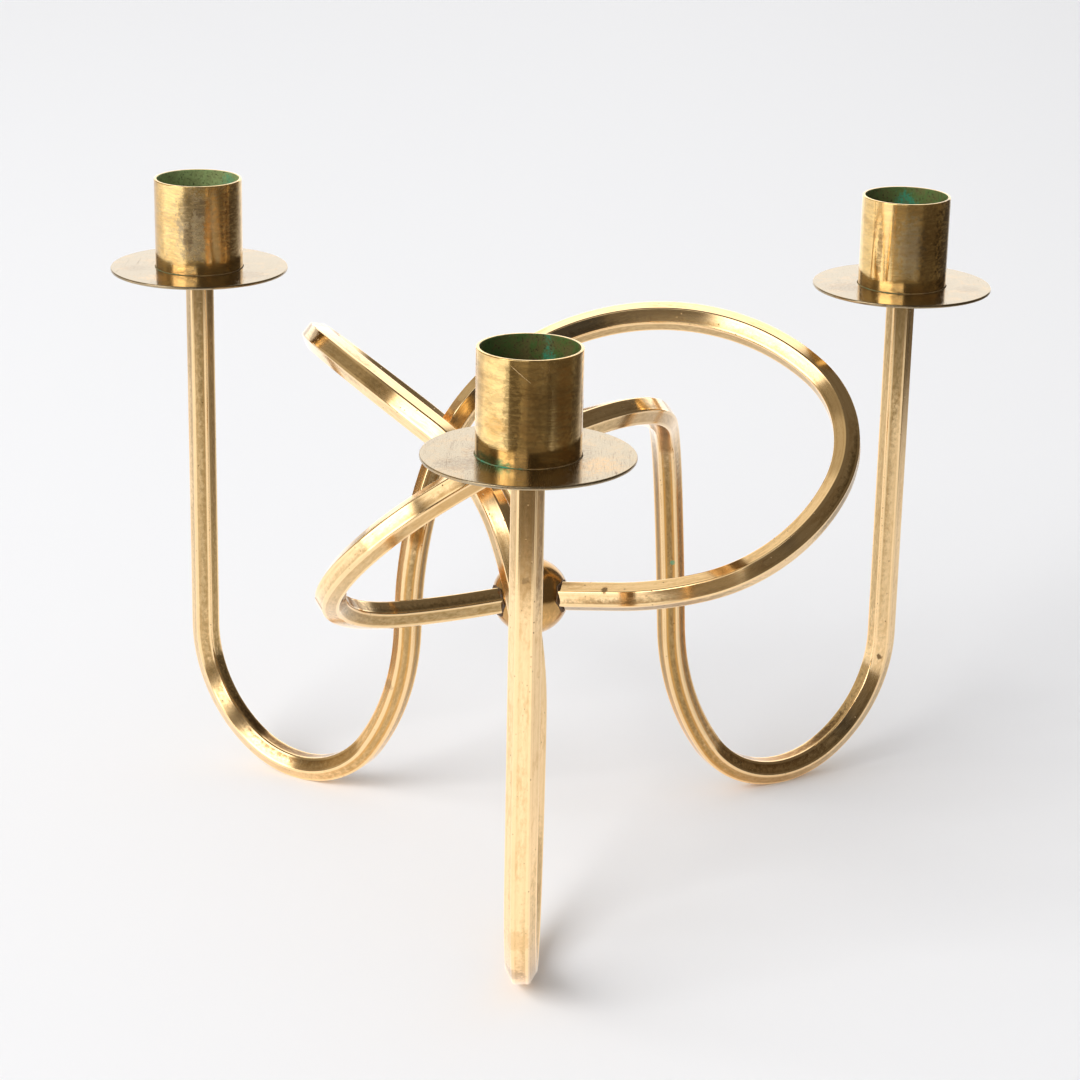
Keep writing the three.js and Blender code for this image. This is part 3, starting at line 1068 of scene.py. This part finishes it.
def pan_finish(arm, finish):
    """Drip pan: scratched and stained, darker round the cup, and dull at the front."""
    metal = Metal(f"{arm} pan brass", "turned_place", (ARMS.index(arm) * 0.37, 0, 0))
    dull = arm == "front"
    smooth = finish.polish + (0.09 if dull else 0.02)
    blotches = metal.effect("Tarnish blotches", Scale=170.0, Amount=finish.patina)
    scratches = metal.effect("Stray scratches", Scale=70.0, Amount=finish.scratches)["Scratches"]
    hairs = metal.effect("Stray scratches", Scale=190.0, Amount=1.2)["Scratches"]
    metal.colour = finish.worn if dull else finish.pale
    metal.roughness = metal.scaled(blotches["Mottle"], 0.06, smooth)
    metal.cover(blotches["Blotches"], finish.warm, 0.28, smooth + 0.05)
    metal.cover(blotches["Mottle"], finish.olive, 0.12, smooth + 0.05)
    for bearing, far, reach, colour, strength in PAN_STAINS[arm]:
        turn = math.radians(bearing)
        middle = mm(far * math.sin(turn), -far * math.cos(turn), 0)
        patch = metal.stain(middle, mm(reach, reach, reach), 0.8)
        broken = metal.times(patch, metal.scaled(blotches["Mottle"], 0.8, 0.3))
        metal.cover(broken, getattr(finish, colour), strength, smooth + 0.1)
    grains = metal.effect("Pits", Scale=2200.0, Amount=0.45)["Pits"]
    near_cup = metal.spread(metal.off_axis(metal.parts(metal.own)), *mm(*DIRTY_RING), 1, 0)
    dirt = metal.times(near_cup, metal.larger(grains, blotches["Mottle"]))
    metal.cover(dirt, finish.brown, 0.6 if dull else 0.15, 0.3)
    metal.cover(hairs, finish.brown, 0.85 if dull else 0.3, 0.3)
    metal.cover(scratches, finish.brown, 0.8 if dull else 0.45, 0.4)
    metal.bump(metal.larger(scratches, hairs), 0.006)
    return metal.done()


def cup_stain(metal, sizes, bearing, height, wide, high, ragged):
    """A stain on a cup, by its bearing from the front and its height."""
    out, turn = sizes.cup_radius, math.radians(bearing)
    middle = (out * math.sin(turn), -out * math.cos(turn), height * MM)
    return metal.stain(middle, mm(wide, wide, high), ragged)


def cup_finish(arm, sizes, finish):
    """Candle cup: turned and polished outside, streaked with old films, dark green inside."""
    metal = Metal(f"{arm} cup brass", "turned_place", (ARMS.index(arm) * 0.53, 0, 0))
    parts = metal.parts(metal.own)
    lines = metal.effect(
        "Polishing lines", Stretch=(0.04, 0.04, 1.0), Smear=(0.3, 0.3, 1.2), Fineness=3600.0
    )
    flattened = metal.shifted(metal.place, (0.6, 0.6, 1.2))
    blotches = metal.effect("Tarnish blotches", Place=flattened, Scale=170.0)
    rolled_out = metal.shifted(metal.place, (0.35, 0.35, 1.3))
    streaks = metal.effect("Tarnish blotches", Place=rolled_out, Scale=520.0, Amount=0.5)
    leaning = metal.shifted(metal.place, turn=(1.2, 0.4, 0))
    scratches = metal.effect("Stray scratches", Place=leaning, Scale=60.0, Amount=0.3)
    streak, smear, dullness = CUP_WEAR[arm]
    smooth = finish.polish + dullness
    metal.colour = finish.gold
    metal.roughness = metal.scaled(lines["Lines"], 0.06, smooth - 0.04)
    metal.cover(blotches["Blotches"], finish.warm, 0.5, smooth + 0.02)
    for bearing, height, wide, high, colour, strength in CUP_STAINS[arm]:
        patch = cup_stain(metal, sizes, bearing, height, wide, high, 0.6)
        streaked = metal.times(patch, metal.scaled(lines["Smears"], -0.6, 1.0))
        rougher = 0.2 if colour == "worn" else 0.04
        metal.cover(streaked, getattr(finish, colour), strength, smooth + rougher)
    metal.cover(streaks["Blotches"], finish.olive, streak, smooth + 0.05)
    metal.cover(lines["Smears"], finish.worn, smear, smooth + 0.12)
    metal.cover(scratches["Scratches"], finish.bright, 0.6, 0.3)
    if arm == "front":
        slanting = metal.shifted(metal.own, turn=(0, math.radians(SCRATCH_SLANT), 0))
        scratch = metal.stain(mm(*SCRATCH_MIDDLE), mm(*SCRATCH_REACH), 0.05, slanting)
        metal.cover(scratch, finish.bright, 0.9, 0.4)
    below = metal.spread(parts[2], *mm(*FOOT_DIRT), 1, 0)
    metal.cover(metal.times(below, blotches["Mottle"]), finish.brown, 0.6, 0.35)
    powder = cup_stain(metal, sizes, *CUP_POWDER[arm], 0.7)
    thin = finish.verdigris_thin
    # Inside the left cup the pale film is partly painted light
    crust = metal.effect(
        "Verdigris",
        Dark=metal.mixed(CUP_FILM_AND_LIGHT[arm], finish.verdigris, thin),
        Pale=finish.verdigris_pale,
        Bare=metal.mixed(CUP_FILM_AND_LIGHT[arm] * 0.7, finish.crust, thin),
        Powder=metal.scaled(powder, 0.8, 0.01),
    )
    start, end = (sizes.cup_bore + past for past in mm(*GREEN_EDGE))
    inside = metal.spread(metal.off_axis(parts), start, end, 1, 0)
    metal.cover(inside, crust["Crust"], 1.0, 0.6, 0.25)
    metal.bump(lines["Lines"], 0.006)
    metal.bump(metal.times(crust["Thickness"], inside), 0.26)
    return metal.done()


def seam_finish(arm, finish):
    """The dirty line round a cup's foot."""
    metal = Metal(f"{arm} cup seam", "turned_place")
    green = metal.stain(mm(*GREEN_SEAM_MIDDLE), mm(*GREEN_SEAM_REACH), 0.4)
    crust = metal.effect(
        "Verdigris",
        Dark=finish.brown,
        Pale=finish.verdigris_pale,
        Bare=finish.olive,
        Powder=metal.scaled(green, 0.9 if arm == "front" else 0.3, 0.04),
    )
    metal.colour = crust["Crust"]
    metal.roughness = 0.7
    metal.metallic = 0.3
    metal.bump(crust["Thickness"], 0.1)
    return metal.done()


def ball_finish(finish):
    """Ball: polished, with brown blotches."""
    metal = Metal("Ball brass", "turned_place")
    blotches = metal.effect("Tarnish blotches", Scale=130.0, Amount=0.75)
    lines = metal.effect(
        "Polishing lines", Stretch=(0.2, 0.2, 1.0), Smear=(0.4, 0.4, 1.0), Fineness=900.0
    )
    metal.colour = finish.warm
    metal.roughness = metal.scaled(lines["Lines"], 0.1, finish.polish)
    metal.cover(blotches["Blotches"], finish.brown, 0.28, finish.polish + 0.2)
    metal.cover(blotches["Mottle"], finish.olive, 0.25, finish.polish + 0.12)
    metal.bump(lines["Lines"], 0.004)
    return metal.done()


def solder_finish(finish):
    """Solder gone grey-brown."""
    metal = Metal("Old solder")
    blotches = metal.effect("Tarnish blotches", Scale=900.0, Amount=0.6)
    metal.colour = (0.09, 0.07, 0.06, 1)
    metal.roughness = 0.42
    metal.cover(blotches["Blotches"], finish.brown, 0.8, 0.55)
    metal.metallic = metal.scaled(blotches["Mottle"], -0.3, 0.9)
    return metal.done()


def screw_finish(finish):
    """Cup screw: dull, with verdigris where the wax has sat."""
    metal = Metal("Screw brass")
    blotches = metal.effect("Tarnish blotches", Scale=400.0, Amount=0.6)
    crust = metal.effect(
        "Verdigris", Dark=finish.verdigris, Pale=finish.verdigris_pale, Bare=finish.brown
    )
    metal.colour = finish.warm
    metal.roughness = 0.36
    metal.cover(blotches["Mottle"], finish.olive, 0.6, 0.5)
    metal.cover(blotches["Blotches"], crust["Crust"], 0.8, 0.75, 0.2)
    metal.bump(crust["Thickness"], 0.08)
    return metal.done()


# Studio

# The broad key light is beside the camera, the side light lets the paper fall off to the right
KEY_PLACE = (-1.4, -1.4, 1.35)
KEY_WIDTH = 38
SIDE_PLACE = (-1.6, -0.2, 1.0)
SIDE_SIZE = 1.0

# Half the width of the paper, in metres
PAPER_SIZE = 4
# Where the paper ends for mirrored rays, in metres. The near edge and the cut slant: how far
# each goes back per metre to the right, then where it begins and ends, at the middle
NEAR_EDGE = (0.12, -0.455, -0.415)
CUT_EDGE = (1.15, -0.08, -0.04)
RIGHT_EDGE = (0.26, 0.46)
# Painted shade: the paper's colour gets darker from left to right, by this share, where
# the light falls off
SHADE = (-0.05, 0.7)
SHADE_LEVEL = 0.91
# Where the paper's extra light begins at the left and far away, and fades at the right
SHEEN_LEFT = (-0.42, -0.30)
SHEEN_FAR = (0.24, 0.10)
SHEEN_RIGHT = (0.02, 0.18, 1, 0.15)

# What polished brass mirrors of the studio, by bearing (0 away from the camera, positive to its
# right) and height, in degrees: the middle and half-width of each window or card, the same in
# height, and its brightness and colour
MIRRORED = (
    ("side wall", -105, 28, 25, 42, 0.30, (1.0, 0.88, 0.66)),
    ("near side wall", -68, 24, 22, 36, 0.52, (1.0, 0.91, 0.72)),
    ("back wall", 0, 31, 20, 32, 1.75, (1.0, 0.99, 0.96)),
    ("foot of the wall", -36, 10, 1, 9, 1.3, (1.0, 0.99, 0.96)),
    ("ceiling card", -42, 17, 48, 9, 0.95, (1.0, 0.95, 0.85)),
    ("softbox", -133, 18, 18, 24, 3.2, (1.0, 0.98, 0.94)),
    ("high window", -166, 20, 45, 7, 1.4, (1.0, 0.98, 0.94)),
    ("low window", -163, 20, 10, 4, 3.2, (1.0, 0.98, 0.94)),
    ("camera side", -178, 24, -3, 7, 0.42, (1.0, 0.96, 0.88)),
    ("dark above the camera", 176, 20, 23, 7, 0.06, (1.0, 1.0, 1.0)),
    ("floor by the camera", -152, 26, -16, 20, 0.27, (1.0, 0.85, 0.62)),
    ("floor past the camera", 160, 22, -16, 20, 0.18, (1.0, 0.85, 0.62)),
    ("floor at the right", 108, 32, -16, 20, 0.12, (1.0, 0.82, 0.58)),
)
SOFT_EDGE = 4


def lamp(name, kind, at, energy, **settings):
    """A lamp aimed at the middle of the table. The world holds what the brass mirrors of it."""
    data = bpy.data.lights.new(name, kind)
    data.energy = energy
    for setting, value in settings.items():
        setattr(data, setting, value)
    made = linked(name, data)
    made.location = at
    made.rotation_euler = Vector(at).to_track_quat("Z", "Y").to_euler()
    made.visible_glossy = False


def make_camera(sizes, studio):
    """The camera at the photograph's angle, set in the candelabra's own frame."""
    a, e, r = studio.azimuth, studio.elevation, studio.roll
    back = Vector((math.sin(a) * math.cos(e), -math.cos(a) * math.cos(e), math.sin(e)))
    right = Vector((math.cos(a), math.sin(a), 0))
    up = back.cross(right)
    rolled_right = right * math.cos(r) + up * math.sin(r)
    rolled_up = up * math.cos(r) - right * math.sin(r)
    aim = right * studio.aim_right - Vector((0, 0, studio.aim_drop))
    place = Matrix((rolled_right, rolled_up, back)).transposed().to_4x4()
    place.translation = aim + back * studio.distance
    data = bpy.data.cameras.new("photograph")
    data.lens = studio.lens
    data.sensor_width = 36
    data.clip_start = 0.01
    camera = linked("photograph", data)
    camera.matrix_world = stand_frame(sizes) @ place
    bpy.context.scene.camera = camera


def paper_material(studio):
    """Pale paper. What the brass mirrors past its edges is the room, held in the world."""
    material = bpy.data.materials.new("Studio paper")
    nodes = Nodes(emptied(material))
    place = nodes.put("ShaderNodeTexCoord").outputs["Object"]
    x, y, _ = nodes.parts(place)
    glossy = nodes.put("ShaderNodeLightPath").outputs["Is Glossy Ray"]

    def this_side(slant, begins, ends):
        """1 on the camera's side of an edge that slants across the paper."""
        return nodes.spread(nodes.scaled(x, -slant, y), begins, ends, 1, 0)

    ahead = nodes.sums("MINIMUM", this_side(*NEAR_EDGE), this_side(*CUT_EDGE))
    beyond = nodes.times(nodes.larger(ahead, nodes.spread(x, *RIGHT_EDGE)), glossy)
    # Painted shade of the light falling off towards the right
    shaded = tinted(studio.paper, SHADE_LEVEL)
    shade = nodes.mixed(nodes.spread(x, *SHADE), studio.paper, shaded)
    grain = nodes.times(nodes.clouds(place, 900.0, 3), 0.02)
    within = nodes.larger(nodes.spread(x, *SHEEN_LEFT), nodes.spread(y, *SHEEN_FAR))
    lit = nodes.times(nodes.spread(x, *SHEEN_RIGHT), within)
    sheen = tinted((1, 1, 1), studio.sheen)
    shader = nodes.put(
        "ShaderNodeBsdfPrincipled",
        {
            "Base Color": nodes.mixed(grain, shade, (0.8, 0.8, 0.8, 1)),
            "Roughness": 0.9,
            "Specular IOR Level": 0.1,
            "Emission Color": nodes.mixed(nodes.times(lit, glossy), (0, 0, 0, 1), sheen),
            "Emission Strength": 1.0,
        },
    )
    clear = nodes.put("ShaderNodeBsdfTransparent")
    feeds = {0: beyond, 1: shader.outputs[0], 2: clear.outputs[0]}
    edged = nodes.put("ShaderNodeMixShader", feeds)
    nodes.put("ShaderNodeOutputMaterial", {"Surface": edged.outputs[0]})
    return material


def near_angle(nodes, angle, middle, half):
    """1 near an angle and 0 away from it, with a soft edge. Middle and half are degrees."""
    off = nodes.sums("ABSOLUTE", nodes.sums("SUBTRACT", angle, math.radians(middle)))
    start, end = math.radians(half - SOFT_EDGE), math.radians(half + SOFT_EDGE)
    return nodes.spread(off, start, end, 1, 0)


def make_world(studio):
    """Plain soft light, a pale backdrop for the camera, and the studio that the brass mirrors."""
    world = bpy.data.worlds.new("Studio")
    bpy.context.scene.world = world
    nodes = Nodes(emptied(world))
    x, y, z = nodes.parts(nodes.put("ShaderNodeTexCoord").outputs["Generated"])
    rays = nodes.put("ShaderNodeLightPath").outputs
    bearing = nodes.sums("ARCTAN2", x, y)
    height = nodes.sums("ARCSINE", z)
    room = studio.room
    for _, middle, half_width, level, half_height, bright, tint in MIRRORED:
        across = near_angle(nodes, bearing, middle, half_width)
        upright = near_angle(nodes, height, level, half_height)
        room = nodes.mixed(nodes.times(across, upright), room, tinted(tint, bright))
    ambient = tinted((1, 1, 1.01), studio.ambient)
    plain = nodes.mixed(rays["Is Diffuse Ray"], room, ambient)
    seen = nodes.mixed(rays["Is Camera Ray"], plain, studio.paper)
    shader = nodes.put("ShaderNodeBackground", {"Color": seen, "Strength": 1.0})
    nodes.put("ShaderNodeOutputWorld", {"Surface": shader.outputs[0]})


def make_floor(studio):
    """The sheet of paper that the candelabra stands on."""
    mesh = bmesh.new()
    bmesh.ops.create_grid(mesh, x_segments=8, y_segments=8, size=PAPER_SIZE)
    floor = solid("studio_paper", mesh, paper_material(studio))


# Operators and panel


def settings_of(context):
    """The sizes and the finish that the panel shows."""
    return context.scene.candelabra_sizes, context.scene.candelabra_finish


class CANDELABRA_OT_stage(bpy.types.Operator):
    """Sets up the camera, the paper and the studio light"""

    bl_idname = "candelabra.stage"
    bl_label = "Studio"

    def execute(self, context):
        studio = context.scene.candelabra_studio
        make_camera(context.scene.candelabra_sizes, studio)
        make_floor(studio)
        make_world(studio)
        lamp("key_light", "SUN", KEY_PLACE, studio.key, angle=math.radians(KEY_WIDTH))
        lamp("side_light", "AREA", SIDE_PLACE, studio.side, shape="SQUARE", size=SIDE_SIZE)
        bpy.context.scene.view_settings.view_transform = "Standard"
        return {"FINISHED"}


class CANDELABRA_OT_bars(bpy.types.Operator):
    """Draws and bends the three hexagonal bars and solders them in"""

    bl_idname = "candelabra.bars"
    bl_label = "Bars"

    def execute(self, context):
        sizes, finish = settings_of(context)
        solder = solder_finish(finish)
        for arm in ARMS:
            run = bar_piece(arm, sizes, finish)
            solder_piece(arm, sizes, run, solder)
        return {"FINISHED"}


class CANDELABRA_OT_ball(bpy.types.Operator):
    """Turns the ball that the bars run into"""

    bl_idname = "candelabra.ball"
    bl_label = "Ball"

    def execute(self, context):
        ball_piece(*settings_of(context))
        return {"FINISHED"}


class CANDELABRA_OT_pans(bpy.types.Operator):
    """Turns the three drip pans"""

    bl_idname = "candelabra.pans"
    bl_label = "Drip pans"

    def execute(self, context):
        for arm in ARMS:
            pan_piece(arm, *settings_of(context))
        return {"FINISHED"}


class CANDELABRA_OT_cups(bpy.types.Operator):
    """Turns the three candle cups, with the dirty seam at their feet"""

    bl_idname = "candelabra.cups"
    bl_label = "Candle cups"

    def execute(self, context):
        sizes, finish = settings_of(context)
        for arm in ARMS:
            cup_piece(arm, sizes, finish)
            seam_piece(arm, sizes, seam_finish(arm, finish))
        return {"FINISHED"}


class CANDELABRA_OT_screws(bpy.types.Operator):
    """Gives the cup screws their dull, green finish"""

    bl_idname = "candelabra.screws"
    bl_label = "Cup screws"

    def execute(self, context):
        material = screw_finish(context.scene.candelabra_finish)
        for arm in ARMS:
            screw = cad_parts.get(f"{arm}_cup_screw")
            if screw is None:
                raise RuntimeError(f"the frame has no screw for the {arm} cup")
            for slot in screw.material_slots:
                slot.material = material
        return {"FINISHED"}


SETTINGS = {
    "candelabra_sizes": CandelabraSizes,
    "candelabra_finish": CandelabraFinish,
    "candelabra_studio": CandelabraStudio,
}
OPERATORS = (
    CANDELABRA_OT_stage,
    CANDELABRA_OT_bars,
    CANDELABRA_OT_ball,
    CANDELABRA_OT_pans,
    CANDELABRA_OT_cups,
    CANDELABRA_OT_screws,
)


class CANDELABRA_PT_panel(bpy.types.Panel):
    """Lists the steps and settings of the candelabra"""

    bl_idname = "CANDELABRA_PT_panel"
    bl_label = "Candelabra"
    bl_space_type = "VIEW_3D"
    bl_region_type = "UI"
    bl_category = "Candelabra"

    def draw(self, context):
        for step in OPERATORS:
            self.layout.operator(step.bl_idname)
        for group, cls in SETTINGS.items():
            box = self.layout.box()
            for name in cls.__annotations__:
                box.prop(getattr(context.scene, group), name)


CLASSES = (*SETTINGS.values(), *OPERATORS, CANDELABRA_PT_panel)


def register():
    for cls in CLASSES:
        bpy.utils.register_class(cls)
    for name, cls in SETTINGS.items():
        setattr(bpy.types.Scene, name, PointerProperty(type=cls))


def unregister():
    for name in SETTINGS:
        delattr(bpy.types.Scene, name)
    for cls in reversed(CLASSES):
        bpy.utils.unregister_class(cls)


def main():
    register()
    for step in OPERATORS:
        group, name = step.bl_idname.split(".")
        getattr(getattr(bpy.ops, group), name)()


if __name__ == "__main__":
    main()
